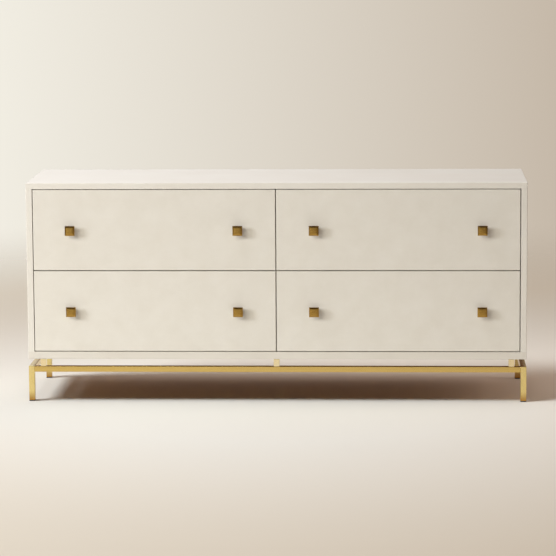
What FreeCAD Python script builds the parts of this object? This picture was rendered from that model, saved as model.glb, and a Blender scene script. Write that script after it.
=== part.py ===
import FreeCAD, Part
import os

# Campaign chest: a lacquered case with four inset drawers, two over two, that floats on spacer
# blocks above a brass base of square tube.
# Millimetres. X runs along the width, the front faces -Y and Z is up. The origin is on the floor,
# under the middle of the whole chest, knobs included.

Vector = FreeCAD.Vector

# Overall size
overall_width = 1626.0
overall_height = 718.0
carcass_depth = 457.0

# Case panels
top_thickness = 20.0
bottom_thickness = 24.0
side_thickness = 20.0
edge_ease = 1.0
divider_thickness = 20.0
divider_setback = 2.0
divider_housing_depth = 8.0
back_thickness = 6.0
back_rabbet = 8.0
panel_fit = 0.2

# Loose tongues between the sides and the top and bottom
tongue_thickness = 6.0
tongue_width = 24.0
tongue_end_inset = 40.0
tongue_fit = 0.1

# Brass base of square tube, with the blocks that hold the case off it
base_height = 116.0
tube_size = 19.0
tube_wall = 1.5
spacer_height = 24.0
spacer_end_inset = 49.0
spacers_per_rail = 3
bolts_per_rail = 2
glide_thickness = 3.0
glide_plug_height = 12.0
glide_fit = 0.1
bolt_diameter = 6.0
bolt_head_across = 10.0
bolt_head_height = 4.0
bolt_access_diameter = 13.0
bolt_in_panel = 13.0
bolt_fit = 0.3
bolt_end_gap = 0.5

# Drawer fronts and the even gaps round them
front_thickness = 20.0
front_gap = 2.5
between_gap = 3.0

# Dovetailed drawer boxes
box_lift = 25.0
box_drop = 36.0
box_back_gap = 31.0
board_thickness = 14.0
tail_count = 4
pin_width = 8.0
tail_slope_share = 1 / 6
joint_fit = 0.1
box_bottom_thickness = 6.0
box_bottom_lift = 12.0
groove_depth = 6.0
groove_fit = 0.2

# Ball-bearing slides of three nested steel channels
drawer_travel = 360.0
slide_space = 12.7
slide_height = 45.0
slide_setback = 3.0
slide_end_gap = 7.0
slide_centre_share = 0.5
slide_steel = 1.2
channel_web_gap = 0.8
cabinet_channel_depth = 10.5
cabinet_channel_lip = 3.4
middle_channel_height = 34.0
middle_channel_depth = 9.0
drawer_channel_height = 23.0
drawer_channel_depth = 8.2
stop_tab_height = 16.0
stop_gap = 0.5
cage_width = 5.0
cage_fit = 0.3
cage_end_gap = 10.0

# Square knobs on tapered square stems
knob_size = 32.0
knob_projection = 28.0
knob_head_thickness = 9.0
knob_bevel = 4.0
knob_stem_size = 13.0
knob_base_size = 20.0
knob_base_thickness = 3.0
knob_inset = 122.0
knob_screw_diameter = 4.0
knob_screw_head_across = 8.0
knob_screw_head_height = 2.6
knob_screw_grip = 14.0
knob_screw_fit = 0.2
knob_screw_end_gap = 1.0

# One overrun for cuts that pass right through a piece, and one distance that counts as touching
cut_overrun = 1.0
near = 0.001

# Places worked out from the sizes
half_width = overall_width / 2
inner_half = half_width - side_thickness
front_y = (knob_projection - carcass_depth) / 2
back_y = front_y + carcass_depth
back_face_y = back_y - back_thickness
fronts_back_y = front_y + front_thickness
divider_front_y = fronts_back_y + divider_setback
case_low = base_height + spacer_height
floor_z = case_low + bottom_thickness
ceiling_z = overall_height - top_thickness
rail_low = base_height - tube_size
bolt_seat_z = base_height - tube_wall
front_width = inner_half - front_gap - between_gap / 2
front_height = (ceiling_z - floor_z - between_gap) / 2 - front_gap
box_depth = back_face_y - fronts_back_y - box_back_gap
slide_length = box_depth - slide_setback - slide_end_gap
moving_length = slide_length - slide_steel - stop_gap
middle_channel_start = slide_steel + channel_web_gap


def centred(middle, width):
    """The two ends of a width laid evenly about a middle."""
    return (middle - width / 2, middle + width / 2)


def grown(span, amount):
    """A span made longer by the same amount at both ends, or shorter if it is negative."""
    return (span[0] - amount, span[1] + amount)


def spread(span, count):
    """Evenly spaced places from one end of a span to the other."""
    return [span[0] + (span[1] - span[0]) * step / (count - 1) for step in range(count)]


def block(x_span, y_span, z_span):
    """A block that fills three spans."""
    lows, highs = zip(x_span, y_span, z_span)
    sizes = [high - low for low, high in zip(lows, highs)]
    return Part.makeBox(*sizes, Vector(*lows))


def rod(diameter, start, end):
    """A round bar between two points."""
    along = end - start
    return Part.makeCylinder(diameter / 2, along.Length, start, along)


def prism(points, along):
    """A straight bar with the outline given by its corner points."""
    bar = Part.Face(Part.makePolygon(points + points[:1])).extrude(along)
    return bar if bar.Volume > 0 else bar.reversed()


def hexagon_head(across, seat, along):
    """A hexagonal screw head on its seat, whose height runs along Y or Z."""
    corner = Vector(across / 3 ** 0.5, 0, 0)
    turns = [FreeCAD.Rotation(along, 60 * step) for step in range(6)]
    return prism([seat + turn.multVec(corner) for turn in turns], along)


def eased(shape, size, chosen):
    """The shape with a flat bevel along the edges whose middle point is chosen."""
    return shape.makeChamfer(size, [edge for edge in shape.Edges if chosen(edge.CenterOfMass)])


# Case: the back panel sits in a rabbet and the divider in housings, each cut from the panels round it
def rabbet():
    x_span = grown((-inner_half, inner_half), back_rabbet)
    z_span = grown((floor_z, ceiling_z), back_rabbet)
    return block(x_span, (back_face_y, back_y + cut_overrun), z_span)


def back_panel():
    x_span = grown((-inner_half, inner_half), back_rabbet - panel_fit)
    z_span = grown((floor_z, ceiling_z), back_rabbet - panel_fit)
    return block(x_span, (back_face_y, back_y), z_span)


def divider(clearance):
    x_span = grown(centred(0, divider_thickness), clearance)
    z_span = grown((floor_z, ceiling_z), divider_housing_depth)
    return block(x_span, (divider_front_y - clearance, back_face_y), z_span)


def tongues(clearance):
    """Loose tongues across the four joints between sides and flat panels, or their stopped grooves."""
    bars = []
    side_middle = half_width - side_thickness / 2
    y_span = grown((front_y, back_y), clearance - tongue_end_inset)
    for joint_z in (floor_z, ceiling_z):
        z_span = grown(centred(joint_z, tongue_width), clearance)
        for x in (-side_middle, side_middle):
            bars.append(block(grown(centred(x, tongue_thickness), clearance), y_span, z_span))
    return bars


def top_panel():
    z_span = (ceiling_z, overall_height)
    panel = block((-half_width, half_width), (front_y, back_y), z_span)
    panel = eased(panel, edge_ease, lambda middle: middle.z > ceiling_z + near)
    return panel.cut([rabbet(), divider(panel_fit)] + tongues(tongue_fit))


def bottom_panel():
    z_span = (case_low, floor_z)
    panel = block((-half_width, half_width), (front_y, back_y), z_span)
    panel = eased(panel, edge_ease, lambda middle: middle.z < floor_z - near)
    return panel.cut([rabbet(), divider(panel_fit)] + tongues(tongue_fit) + bolt_bores())


def side_panel(hand):
    """A side between top and bottom: hand is -1 for the left one and 1 for the right one."""
    x_span = sorted((hand * inner_half, hand * half_width))
    panel = block(x_span, (front_y, back_y), (floor_z, ceiling_z))

    def outer_corner(middle):
        upright = floor_z + near < middle.z < ceiling_z - near
        return upright and abs(middle.x) > half_width - near

    panel = eased(panel, edge_ease, outer_corner)
    return panel.cut([rabbet()] + tongues(tongue_fit))


# Base: legs to full height with closed tops, and rails that butt between them
def leg_spans(hand, end):
    """Plan of a leg: hand is -1 left or 1 right, end is -1 front or 1 back."""
    x_span = sorted((hand * half_width, hand * (half_width - tube_size)))
    outer_y = front_y if end < 0 else back_y
    return x_span, sorted((outer_y, outer_y - end * tube_size))


def leg(hand, end):
    x_span, y_span = leg_spans(hand, end)
    tube = block(x_span, y_span, (glide_thickness, base_height))
    inside_z = (glide_thickness - cut_overrun, base_height - tube_wall)
    return tube.cut(block(grown(x_span, -tube_wall), grown(y_span, -tube_wall), inside_z))


def cross_rail(end):
    """Front or back rail, bored for the bolts of its spacer blocks."""
    y_span = leg_spans(1, end)[1]
    x_span = grown((-half_width, half_width), -tube_size)
    z_span = (rail_low, base_height)
    tube = block(x_span, y_span, z_span)
    inside = block(grown(x_span, cut_overrun), grown(y_span, -tube_wall), grown(z_span, -tube_wall))
    return tube.cut([inside] + bolt_bores())


def side_rail(hand):
    x_span = leg_spans(hand, 1)[0]
    y_span = grown((front_y, back_y), -tube_size)
    z_span = (rail_low, base_height)
    tube = block(x_span, y_span, z_span)
    return tube.cut(block(grown(x_span, -tube_wall), grown(y_span, cut_overrun), grown(z_span, -tube_wall)))


def spacer_places(count):
    """Plan positions on the middle lines of the front and back rails, from end block to end block."""
    along = spread(grown((-half_width, half_width), -spacer_end_inset), count)
    return [(x, y) for y in grown((front_y, back_y), -tube_size / 2) for x in along]


def spacers():
    """Short upright lengths of the same tube, which hold the case off the rails."""
    blocks = []
    for x, y in spacer_places(spacers_per_rail):
        x_span = centred(x, tube_size)
        y_span = centred(y, tube_size)
        tube = block(x_span, y_span, (base_height, case_low))
        inside_z = grown((base_height, case_low), cut_overrun)
        blocks.append(tube.cut(block(grown(x_span, -tube_wall), grown(y_span, -tube_wall), inside_z)))
    return blocks


def bolt_bores():
    """Bores for the shanks of the bolts, and the wider holes under the rails that let the heads in."""
    bores = []
    for x, y in spacer_places(bolts_per_rail):
        low = Vector(x, y, bolt_seat_z - cut_overrun)
        high = Vector(x, y, case_low + bolt_in_panel + bolt_end_gap)
        bores.append(rod(bolt_diameter + 2 * bolt_fit, low, high))
        under = Vector(x, y, rail_low - cut_overrun)
        inside = Vector(x, y, rail_low + tube_wall + cut_overrun)
        bores.append(rod(bolt_access_diameter, under, inside))
    return bores


def bolts():
    """Bolts up through the end blocks into the case, with their hexagon heads inside the rails."""
    whole = []
    for x, y in spacer_places(bolts_per_rail):
        seat = Vector(x, y, bolt_seat_z)
        shank = rod(bolt_diameter, seat, Vector(x, y, case_low + bolt_in_panel))
        head = hexagon_head(bolt_head_across, seat, Vector(0, 0, -bolt_head_height))
        whole.append(shank.fuse(head).removeSplitter())
    return whole


def glides():
    """Moulded plugs in the feet of the legs, with a flange that stands on the floor."""
    plugs = []
    for hand in (-1, 1):
        for end in (-1, 1):
            x_span, y_span = leg_spans(hand, end)
            flange = block(x_span, y_span, (0, glide_thickness))
            flange = eased(flange, edge_ease, lambda middle: middle.z < near)
            inset = -(tube_wall + glide_fit)
            plug_z = (glide_thickness / 2, glide_thickness + glide_plug_height)
            plug = block(grown(x_span, inset), grown(y_span, inset), plug_z)
            plugs.append(flange.fuse(plug).removeSplitter())
    return plugs


# Drawers: spans shared by everything that belongs to one of them
def front_spans(hand, level):
    """A drawer front: hand is -1 left or 1 right, level is 0 lower or 1 upper."""
    x_span = sorted((hand * between_gap / 2, hand * (between_gap / 2 + front_width)))
    low = floor_z + front_gap + level * (front_height + between_gap)
    return x_span, (front_y, fronts_back_y), (low, low + front_height)


def bay_walls(hand):
    """Faces of the side and of the divider that carry the slides of a drawer, left one first."""
    return sorted((hand * divider_thickness / 2, hand * inner_half))


def box_spans(hand, level):
    front_z = front_spans(hand, level)[2]
    x_span = grown(bay_walls(hand), -slide_space)
    y_span = (fronts_back_y, fronts_back_y + box_depth)
    return x_span, y_span, (front_z[0] + box_lift, front_z[1] - box_drop)


def dovetail_pins(spans, end, clearance):
    """Pins of the box front or back, as bars across the box; end is -1 front or 1 back.

    A pin is narrow at the outer face and widens inwards, so the tails of the sides can't pull off."""
    x_span, y_span, z_span = spans
    face_y = y_span[0] if end < 0 else y_span[1]
    inner_y = face_y - end * board_thickness
    narrow = pin_width / 2 + clearance
    wide = narrow + board_thickness * tail_slope_share
    bars = []
    for z in spread(z_span, tail_count + 1):
        outline = ((face_y, z - narrow), (face_y, z + narrow), (inner_y, z + wide), (inner_y, z - wide))
        points = [Vector(x_span[0], y, height) for y, height in outline]
        bars.append(prism(points, Vector(x_span[1] - x_span[0], 0, 0)))
    return bars


def box_bottom(spans, clearance):
    """The loose panel of a box, or with a clearance the groove that it slides into."""
    inset = groove_depth - board_thickness
    x_span, y_span, z_span = spans
    low = z_span[0] + box_bottom_lift
    high = low + box_bottom_thickness + clearance
    return block(grown(x_span, inset + clearance), grown(y_span, inset + clearance), (low, high))


def box_side(spans, hand):
    x_span, y_span, z_span = spans
    outer = x_span[0] if hand < 0 else x_span[1]
    board = block(sorted((outer, outer - hand * board_thickness)), y_span, z_span)
    sockets = dovetail_pins(spans, -1, joint_fit) + dovetail_pins(spans, 1, joint_fit)
    return board.cut(sockets + [box_bottom(spans, groove_fit)])


def box_end(spans, end):
    """Front or back board of a box: the stretch between the sides, and its pins."""
    x_span, y_span, z_span = spans
    face_y = y_span[0] if end < 0 else y_span[1]
    thickness = sorted((face_y, face_y - end * board_thickness))
    board = block(grown(x_span, -board_thickness), thickness, z_span)
    whole = block(x_span, thickness, z_span)
    pins = [pin.common(whole) for pin in dovetail_pins(spans, end, 0)]
    return board.fuse(pins).removeSplitter().cut(box_bottom(spans, groove_fit))


# Slides: channels are drawn in the distance from the wall that carries them and the height
def channel(start, facing, height, depth, lip):
    """Outline of a channel: its web at start, its flanges facing 1 to the drawer or -1 to the wall."""
    top = height / 2
    mouth = start + facing * depth
    upper = [(start, top), (mouth, top), (mouth, top - lip)]
    if lip > slide_steel:
        upper += [(mouth - facing * slide_steel, top - lip)]
        upper += [(mouth - facing * slide_steel, top - slide_steel)]
    upper += [(start + facing * slide_steel, top - slide_steel)]
    return upper + [(reach, -rise) for reach, rise in reversed(upper)]


def cage_bar(middle, low, high):
    """Outline of one ball cage in the space between two flanges."""
    near_side, far_side = centred(middle, cage_width)
    base, crown = grown((low, high), -cage_fit)
    return [(near_side, base), (far_side, base), (far_side, crown), (near_side, crown)]


def slide_walls(hand, level):
    """Each wall beside a drawer: its place, the way to the drawer and the height of the slide's middle."""
    left, right = bay_walls(hand)
    low, high = box_spans(hand, level)[2]
    centre = low + (high - low) * slide_centre_share
    return [(left, 1, centre), (right, -1, centre)]


def run(wall, outline, y_start, length):
    """An outline drawn from a wall, run along the depth."""
    place, inward, centre = wall
    points = [Vector(place + inward * reach, y_start, centre + rise) for reach, rise in outline]
    return prism(points, Vector(0, length, 0))


slide_start_y = fronts_back_y + slide_setback


def cabinet_channel(wall):
    """The fixed channel, with a folded tab at its back end that stops the drawer when it shuts."""
    outline = channel(0, 1, slide_height, cabinet_channel_depth, cabinet_channel_lip)
    low, high = centred(0, stop_tab_height)
    root, tip = slide_steel / 2, cabinet_channel_depth
    tab = [(root, low), (tip, low), (tip, high), (root, high)]
    rail = run(wall, outline, slide_start_y, slide_length)
    stop = run(wall, tab, slide_start_y + slide_length - slide_steel, slide_steel)
    return rail.fuse(stop).removeSplitter()


def middle_channel(wall):
    outline = channel(middle_channel_start, 1, middle_channel_height, middle_channel_depth, slide_steel)
    return run(wall, outline, slide_start_y, moving_length)


def ball_cages(wall):
    """Two cages outside the middle channel, at its back, and two inside it, at its front.

    There they stay between their two channels over the whole travel."""
    cage_length = moving_length - drawer_travel / 2 - cage_end_gap
    outer_middle = (middle_channel_start + cabinet_channel_depth - slide_steel) / 2
    inner_middle = (slide_space - drawer_channel_depth + middle_channel_start + middle_channel_depth) / 2
    middle_top = middle_channel_height / 2
    outer = cage_bar(outer_middle, middle_top, slide_height / 2 - slide_steel)
    inner = cage_bar(inner_middle, drawer_channel_height / 2, middle_top - slide_steel)
    back_start = slide_start_y + moving_length - cage_length
    bars = []
    for upper, y_start in ((outer, back_start), (inner, slide_start_y)):
        lower = [(reach, -rise) for reach, rise in upper]
        bars += [run(wall, side, y_start, cage_length) for side in (upper, lower)]
    return bars


def middle_member(wall):
    """The middle channel of a slide and the cages that travel with it, as separate solids."""
    return [middle_channel(wall)] + ball_cages(wall)


def drawer_channel(wall):
    outline = channel(slide_space, -1, drawer_channel_height, drawer_channel_depth, slide_steel)
    return run(wall, outline, slide_start_y, moving_length)


# Knobs: a bevelled square head on a stem that tapers up from a square foot
def knob_places(hand, level):
    x_span, y_span, z_span = front_spans(hand, level)
    height = (z_span[0] + z_span[1]) / 2
    return [Vector(x, front_y, height) for x in grown(x_span, -knob_inset)]


def square_wire(size, height):
    low, high = centred(0, size)
    corners = [(low, low), (high, low), (high, high), (low, high), (low, low)]
    return Part.makePolygon([Vector(x, y, height) for x, y in corners])


def knob(place):
    neck = knob_projection - knob_head_thickness
    foot_span = centred(0, knob_base_size)
    head_span = centred(0, knob_size)
    foot = block(foot_span, foot_span, (0, knob_base_thickness))
    low_wire = square_wire(knob_base_size, knob_base_thickness)
    stem = Part.makeLoft([low_wire, square_wire(knob_stem_size, neck)], True, True)
    head = block(head_span, head_span, (neck, knob_projection))
    head = eased(head, knob_bevel, lambda middle: middle.z > knob_projection - near)
    whole = head.fuse([stem, foot]).removeSplitter()
    whole = whole.cut(rod(knob_screw_diameter + 2 * knob_screw_fit, *screw_bore_ends()))
    whole.rotate(Vector(0, 0, 0), Vector(1, 0, 0), 90)
    whole.translate(place)
    return whole


def screw_bore_ends():
    """Ends of the threaded bore in a knob that stands on the floor with its head up."""
    return Vector(0, 0, -cut_overrun), Vector(0, 0, knob_screw_grip + knob_screw_end_gap)


def knob_screw(place):
    """A long screw through box front and drawer front, with its head inside the box."""
    seat = place + Vector(0, front_thickness + board_thickness, 0)
    head = hexagon_head(knob_screw_head_across, seat, Vector(0, knob_screw_head_height, 0))
    return rod(knob_screw_diameter, place - Vector(0, knob_screw_grip, 0), seat).fuse(head).removeSplitter()


def knob_screw_bore(place):
    deep = Vector(0, front_thickness + board_thickness + cut_overrun, 0)
    return rod(knob_screw_diameter + 2 * knob_screw_fit, place - Vector(0, cut_overrun, 0), place + deep)


def drawer_front(hand, level):
    front = block(*front_spans(hand, level))
    front = eased(front, edge_ease, lambda middle: middle.y < front_y + near)
    return front.cut([knob_screw_bore(place) for place in knob_places(hand, level)])


def drawer(hand, level):
    """All the pieces of one drawer, by the last part of their names."""
    spans = box_spans(hand, level)
    walls = slide_walls(hand, level)
    places = knob_places(hand, level)
    return {
        "drawer_front": drawer_front(hand, level),
        "box_front": box_end(spans, -1).cut([knob_screw_bore(place) for place in places]),
        "box_back": box_end(spans, 1),
        "box_left_side": box_side(spans, -1),
        "box_right_side": box_side(spans, 1),
        "box_bottom": box_bottom(spans, 0),
        "knobs": Part.makeCompound([knob(place) for place in places]),
        "knob_screws": Part.makeCompound([knob_screw(place) for place in places]),
        "drawer_channels": Part.makeCompound([drawer_channel(wall) for wall in walls]),
        "middle_channels": Part.makeCompound([piece for wall in walls for piece in middle_member(wall)]),
    }


hands = {"left": -1, "right": 1}
ends = {"front": -1, "back": 1}
levels = {"upper": 1, "lower": 0}

parts = {
    "top_panel": top_panel(),
    "bottom_panel": bottom_panel(),
    "centre_divider": divider(0),
    "back_panel": back_panel(),
    "loose_tongues": Part.makeCompound(tongues(0)),
    "base_spacers": Part.makeCompound(spacers()),
    "base_bolts": Part.makeCompound(bolts()),
    "foot_glides": Part.makeCompound(glides()),
}
for side_name, hand in hands.items():
    parts[f"{side_name}_side_panel"] = side_panel(hand)
    parts[f"base_{side_name}_rail"] = side_rail(hand)
for end_name, end in ends.items():
    parts[f"base_{end_name}_rail"] = cross_rail(end)
    for side_name, hand in hands.items():
        parts[f"{end_name}_{side_name}_leg"] = leg(hand, end)

fixed_channels = []
for level_name, level in levels.items():
    for side_name, hand in hands.items():
        fixed_channels += [cabinet_channel(wall) for wall in slide_walls(hand, level)]
        for piece_name, shape in drawer(hand, level).items():
            parts[f"{level_name}_{side_name}_{piece_name}"] = shape
parts["cabinet_channels"] = Part.makeCompound(fixed_channels)

os.makedirs("parts", exist_ok=True)
for name, shape in parts.items():
    shape.exportStep(f"parts/{name}.step")
print(len(parts), "pieces of the chest written")
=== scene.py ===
# %% [markdown]
# A campaign chest: a wide, low chest of four drawers, two over two, lacquered ivory, that floats on
# small blocks above a slim base of brass tube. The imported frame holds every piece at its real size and
# place. This lesson gives the pieces their surfaces, swaps the ones that need finer edges, adds the
# small hardware, and lights the chest on a pale floor. Everything is in metres, with the front on -Y.

# %% Load the frame
import math

import bmesh
import bpy
from mathutils import Matrix, Vector


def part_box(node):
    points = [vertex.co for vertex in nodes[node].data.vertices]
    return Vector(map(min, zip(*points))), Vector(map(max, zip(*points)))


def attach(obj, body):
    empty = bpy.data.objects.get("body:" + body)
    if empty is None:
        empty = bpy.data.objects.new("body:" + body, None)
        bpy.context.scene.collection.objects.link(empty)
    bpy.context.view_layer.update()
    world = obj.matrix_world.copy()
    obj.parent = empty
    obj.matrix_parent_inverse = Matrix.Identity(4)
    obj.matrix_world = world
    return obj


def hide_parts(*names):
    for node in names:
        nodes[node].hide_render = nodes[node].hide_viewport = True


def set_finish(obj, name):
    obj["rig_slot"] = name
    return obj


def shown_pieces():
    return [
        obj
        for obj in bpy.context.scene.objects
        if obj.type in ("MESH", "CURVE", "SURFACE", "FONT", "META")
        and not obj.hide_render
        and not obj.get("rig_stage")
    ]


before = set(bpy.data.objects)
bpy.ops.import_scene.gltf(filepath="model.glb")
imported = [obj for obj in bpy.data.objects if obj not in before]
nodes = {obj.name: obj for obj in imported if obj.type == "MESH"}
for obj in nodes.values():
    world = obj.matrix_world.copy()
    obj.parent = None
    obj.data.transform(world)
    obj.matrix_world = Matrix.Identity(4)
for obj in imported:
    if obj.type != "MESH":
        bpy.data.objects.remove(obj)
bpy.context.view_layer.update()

scene = bpy.context.scene
mm = 0.001
drawers = ["upper_left", "upper_right", "lower_left", "lower_right"]

# %% [markdown]
# Colours are written as sRGB hex, the way a paint chart gives them, but shaders work in linear light,
# so one function turns one into the other. Node trees are long to write by hand, so one small function
# adds a node, sets what it is told, and links whatever it is given from another node. A node that is
# given whole is linked from its first output, which is mostly the one that is wanted. The same function
# serves shader trees and geometry trees. A pattern's scale is repeats in a metre, worked out from the
# size that the pattern has on the real surface.

# %% Helpers for colours and nodes
def linear(code):
    """Linear colour, with full alpha, of an sRGB hex value."""
    levels = [int(code[at : at + 2], 16) / 255 for at in (0, 2, 4)]
    return [v / 12.92 if v <= 0.04045 else ((v + 0.055) / 1.055) ** 2.4 for v in levels] + [1.0]


def per_metre(size):
    """Scale of a pattern whose features are this many millimetres wide."""
    return 1 / (size * mm)


def set_inputs(tree, node, inputs):
    """Gives a node's inputs their values, or links them from sockets or from whole nodes."""
    for key, value in inputs.items():
        if isinstance(value, bpy.types.Node):
            value = value.outputs[0]
        if isinstance(value, bpy.types.NodeSocket):
            tree.links.new(value, node.inputs[key])
        else:
            node.inputs[key].default_value = value


def add_node(tree, kind, inputs=None, stops=(), **settings):
    """Adds a node, with its settings, its inputs and the stops of a colour ramp."""
    node = tree.nodes.new(kind)
    for name, value in settings.items():
        setattr(node, name, value)
    set_inputs(tree, node, inputs or {})
    for index, (position, code) in enumerate(stops):
        ramp = node.color_ramp.elements
        stop = ramp[index] if index < len(ramp) else ramp.new(position)
        stop.position = position
        stop.color = linear(code)
    return node


def start_material(name):
    """A new material: the material, its tree and the Object coordinates."""
    material = bpy.data.materials.new(name)
    material.use_nodes = True
    tree = material.node_tree
    return material, tree, add_node(tree, "ShaderNodeTexCoord").outputs["Object"]


def end_material(material, colour, height, roughness, strength, depth, invert=False, metallic=0.0):
    """Ends a material: its shader gets a colour, a roughness and a bump, that many millimetres deep."""
    tree = material.node_tree
    pressed = {"Height": height, "Strength": strength, "Distance": depth * mm}
    bump = add_node(tree, "ShaderNodeBump", pressed, invert=invert)
    surface = {"Base Color": colour, "Roughness": roughness, "Metallic": metallic, "Normal": bump}
    set_inputs(tree, tree.nodes["Principled BSDF"], surface)
    return material


print("ivory in linear light:", [round(value, 3) for value in linear("E6DFCF")])

# %% [markdown]
# The case is board sprayed with satin ivory lacquer and rubbed down. Up close such a coat isn't quite
# flat: it has a faint orange peel a few millimetres wide, and the colour clouds very slightly over a
# hand's breadth. A flat colour with a gloss setting would do from far away. Here two noises do it, one
# broad for the colour and one fine for the bump, so that a close view still looks sprayed. The bottom
# board's underside, picked out by its normal, is painted dark brown: painted shade that deepens the
# shadow under the case and the dark line that the rail tops mirror.

# %% Satin lacquer
cloud_width = 160
peel_width = 2.5
facing_down = -0.9


def sprayed_lacquer(name, light, shade, roughness, underside_shade=None):
    """Lacquer on board: sprayed and rubbed, which leaves an even sheen with a fine orange peel."""
    material, tree, place = start_material(name)
    clouds = {"Vector": place, "Scale": per_metre(cloud_width), "Detail": 3.0}
    cloud = add_node(tree, "ShaderNodeTexNoise", clouds)
    coat = add_node(tree, "ShaderNodeValToRGB", {"Fac": cloud}, [(0.3, shade), (0.7, light)])
    dimples = {"Vector": place, "Scale": per_metre(peel_width), "Detail": 1.0}
    peel = add_node(tree, "ShaderNodeTexNoise", dimples)
    # Painted shade: faces that look down take a dark brown, standing in for the shade under the case.
    if underside_shade:
        facing = add_node(tree, "ShaderNodeSeparateXYZ", {0: place.node.outputs["Normal"]})
        limit = {0: facing.outputs["Z"], 1: facing_down}
        below = add_node(tree, "ShaderNodeMath", limit, operation="LESS_THAN")
        coat = add_node(tree, "ShaderNodeMixRGB", {"Fac": below, "Color1": coat, "Color2": linear(underside_shade)})
    return end_material(material, coat, peel, roughness, strength=0.25, depth=0.06)


ivory_lacquer = sprayed_lacquer("ivory_lacquer_satin", "E8E3D9", "E5DFD4", 0.4)
inner_lacquer = sprayed_lacquer("ivory_lacquer_inside", "DDD6C8", "D6CEBF", 0.55)
back_paint = sprayed_lacquer("painted_back_board", "D6CEBF", "D3CABB", 0.65)
# Painted shade on the underside of the bottom board.
underside_shade_lacquer = sprayed_lacquer("ivory_lacquer_bare_below", "E0DACF", "DCD5C9", 0.4, underside_shade="8F6238")
lacquers = [ivory_lacquer, inner_lacquer, back_paint, underside_shade_lacquer]
print("lacquers:", [lacquer.name for lacquer in lacquers])

# %% [markdown]
# The drawer fronts are covered in an ivory sheet embossed like ray skin: small rounded pebbles, two or
# three millimetres across, close together, with soft clouds of tone over the whole sheet. Real pebbles
# as geometry would be over a hundred thousand bumps that no distant view can show. A cell pattern gives
# each pebble its round top and its valley. It feeds the bump and, mixed with a broad noise, the colour,
# so that the valleys hold a little more of the glaze.

# %% Embossed pebbled sheet
glaze_cloud_width = 70
valley_share = 0.22


def embossed_pebbles(name, pebble_size):
    """Embossed sheet with a wiped glaze: pale tops, slightly deeper valleys, and clouds of tone."""
    material, tree, place = start_material(name)
    cells = {"Vector": place, "Scale": per_metre(pebble_size), "Smoothness": 0.35, "Randomness": 0.85}
    pebbles = add_node(tree, "ShaderNodeTexVoronoi", cells, feature="SMOOTH_F1")
    clouds = {"Vector": place, "Scale": per_metre(glaze_cloud_width), "Detail": 4.0, "Roughness": 0.6}
    cloud = add_node(tree, "ShaderNodeTexNoise", clouds)
    deeper = {0: pebbles, 1: -valley_share, 2: cloud}
    glaze = add_node(tree, "ShaderNodeMath", deeper, operation="MULTIPLY_ADD")
    colour = add_node(tree, "ShaderNodeValToRGB", {"Fac": glaze}, [(0.1, "E0DACE"), (0.75, "E8E3D9")])
    return end_material(material, colour, pebbles, roughness=0.42, strength=0.35, depth=0.25, invert=True)


pebbled_ivory = embossed_pebbles("embossed_ivory_sheet", 2.6)
print("fronts:", pebbled_ivory.name)

# %% [markdown]
# The base and the knobs are brass, brushed with a fine belt and left satin. Brushing leaves hairlines
# along the length of a tube, which stretch its highlights across the lines and vary the roughness from
# line to line. The lines are finer than a tenth of a millimetre, so they are drawn a few tenths wide to
# show at all. Noise squeezed in one direction makes them, with one material for each direction. The
# upright one, on the legs, is painted paler than the rails, as painted reflection of the bright floor,
# and the legs darken to amber in their last three centimetres, as painted shade from the dark under
# the chest that they mirror. The spacer blocks are polished smoother and also painted paler, as painted
# reflection, and the knobs are painted darker, as painted shade of the dark room that they mirror.

# %% Brushed metals
X, Y, Z = range(3)
hairline_squeeze = 0.015
sheen_play = 0.07
foot_shade_fade = {"From Min": 3 * mm, "From Max": 34 * mm, "To Min": 0.9, "To Max": 0.0}


def brushed_metal(name, along, light, shade, roughness, line_width, foot=None):
    """Metal brushed along one axis: hairlines that vary the tone, the roughness and the bump."""
    material, tree, place = start_material(name)
    squeeze = [1.0, 1.0, 1.0]
    squeeze[along] = hairline_squeeze
    turned = add_node(tree, "ShaderNodeMapping", {"Vector": place, "Scale": squeeze})
    hairs = {"Vector": turned, "Scale": per_metre(line_width), "Detail": 2.0}
    lines = add_node(tree, "ShaderNodeTexNoise", hairs)
    tone = add_node(tree, "ShaderNodeValToRGB", {"Fac": lines}, [(0.3, shade), (0.7, light)])
    varied = {"Value": lines, "To Min": roughness - sheen_play, "To Max": roughness + sheen_play}
    sheen = add_node(tree, "ShaderNodeMapRange", varied)
    # Painted shade: towards the floor the tone turns to a darker amber.
    if foot:
        height = add_node(tree, "ShaderNodeSeparateXYZ", {0: place}).outputs["Z"]
        low = add_node(tree, "ShaderNodeMapRange", {"Value": height, **foot_shade_fade})
        tone = add_node(tree, "ShaderNodeMixRGB", {"Fac": low, "Color1": tone, "Color2": linear(foot)})
    return end_material(material, tone, lines, roughness=sheen, strength=0.15, depth=0.03, metallic=1.0)


satin, hairline = 0.22, 0.6
satin_brass = [
    brushed_metal("brushed_brass_across", X, "E3C57A", "D6B568", satin, hairline),
    brushed_metal("brushed_brass_deep", Y, "E3C57A", "D6B568", satin, hairline),
    # Painted reflection: the upright copy is paler than the others, and its foot takes painted shade.
    brushed_metal("brushed_brass_upright", Z, "F4DF9C", "EAD288", satin, hairline, foot="B07A2E"),
]
# Painted reflection: paler than the other brass, beside a real smoother polish.
spacer_brass = brushed_metal("polished_spacer_brass", Z, "FBEBC3", "F3E0B0", 0.15, hairline)
# Painted shade: darker than the base brass, for the dark room that the knobs mirror.
knob_brass = brushed_metal("brushed_knob_brass", X, "C09A50", "AB8742", 0.28, 0.5)
zinc_steel = brushed_metal("zinc_plated_steel", Y, "C3C6C9", "AEB2B6", 0.34, 1.5)
ball_steel = brushed_metal("polished_ball_steel", Y, "C9CBCD", "BFC1C4", 0.16, 3.0)
metals = [*satin_brass, spacer_brass, knob_brass, zinc_steel, ball_steel]
print("metals:", [metal.name for metal in metals])

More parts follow.
